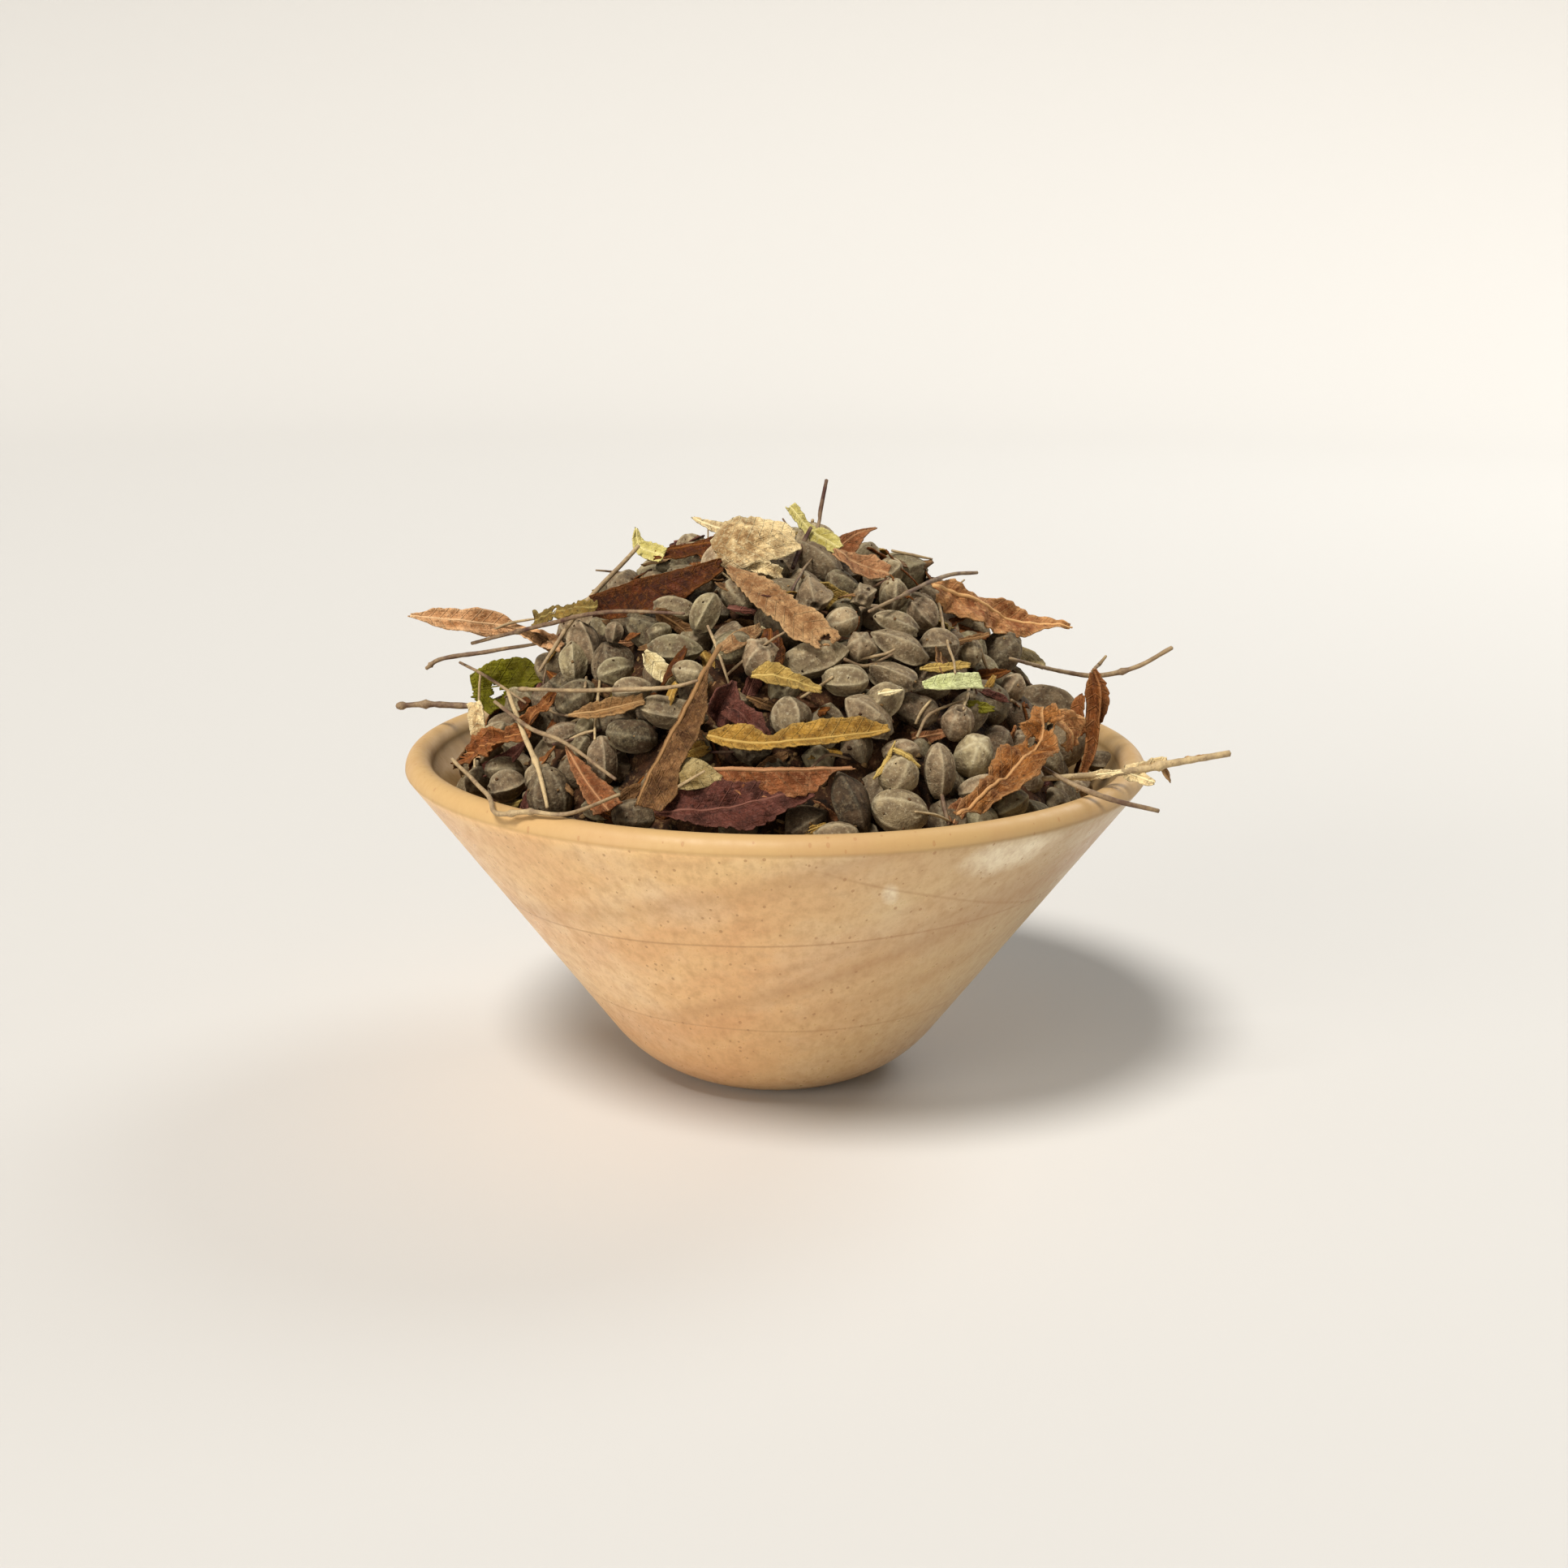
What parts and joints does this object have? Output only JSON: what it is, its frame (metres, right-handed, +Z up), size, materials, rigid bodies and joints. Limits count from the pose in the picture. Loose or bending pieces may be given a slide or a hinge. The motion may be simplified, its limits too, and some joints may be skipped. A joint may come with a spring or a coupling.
{
  "type": "bowl of dried linden fruits",
  "caption": "Turned wooden bowl with a conical side and a small flat foot, heaped with dried ribbed linden fruits, broken dry leaves and thin stalks.",
  "frame": {"origin": "centre of the bowl's flat foot, on the surface that it stands on", "axes": "+Z up along the bowl's axis, +X to the right and -Y towards the viewer in the picture; the stalks at the two sides make X the longest extent"},
  "size_m": [0.1669, 0.15, 0.1219],
  "materials": {
    "bowl_wood": "pale peach-tan wood, oiled to a soft gloss, with faint grain",
    "fruit_shell": "matt grey-brown shell with pale speckles",
    "leaf_brown": "dry dark brown leaf",
    "leaf_rust": "dry rust-coloured leaf",
    "leaf_tan": "dry tan leaf",
    "leaf_ochre": "dry ochre leaf",
    "leaf_cream": "papery cream bract or husk",
    "leaf_green": "dry olive-green leaf",
    "leaf_maroon": "dry maroon leaf with a faint sheen",
    "stalk": "thin dry stalk"
  },
  "bodies": {
    "root": {"bowl": "bowl_wood", "heap": "fruit_shell", "leaf_left_flag": "leaf_tan", "leaf_left_green": "leaf_green", "leaf_left_low": "leaf_brown", "leaf_olive_left": "leaf_ochre", "leaf_brown_back": "leaf_brown", "leaf_brown_ridge": "leaf_brown", "leaf_cream_peak": "leaf_cream", "leaf_tan_front": "leaf_tan", "leaf_rust_peak": "leaf_rust", "leaf_right_flag": "leaf_tan", "leaf_red_middle": "leaf_maroon", "leaf_rolled": "leaf_ochre", "leaf_yellow_fold": "leaf_ochre", "leaf_ochre_front": "leaf_ochre", "leaf_rust_front": "leaf_rust", "leaf_maroon_front": "leaf_maroon", "leaf_brown_diagonal": "leaf_brown", "leaf_red_spear": "leaf_rust", "leaf_crumpled_right": "leaf_rust", "leaf_crumpled_edge": "leaf_tan", "leaf_curl_right": "leaf_brown", "husk_front": "leaf_cream", "husk_right": "leaf_cream", "bract_lime_peak": "leaf_cream", "bract_yellow_peak": "leaf_cream", "bract_lime_left": "leaf_cream", "bract_left": "leaf_cream", "bract_green_strip": "leaf_green", "stalk_peak": "stalk", "stalk_upper_right": "stalk", "stalk_right_mid": "stalk", "stalk_right_low": "stalk", "stalk_right_pink": "stalk", "stalk_left_long": "stalk", "stalk_cross": "stalk", "stalk_left_upper": "stalk", "stalk_left_lower": "stalk", "stalk_left_cross": "stalk", "stalk_pale_left": "stalk", "stalk_dark_left": "stalk", "stalk_rim": "stalk"}
  },
  "joints": []
}
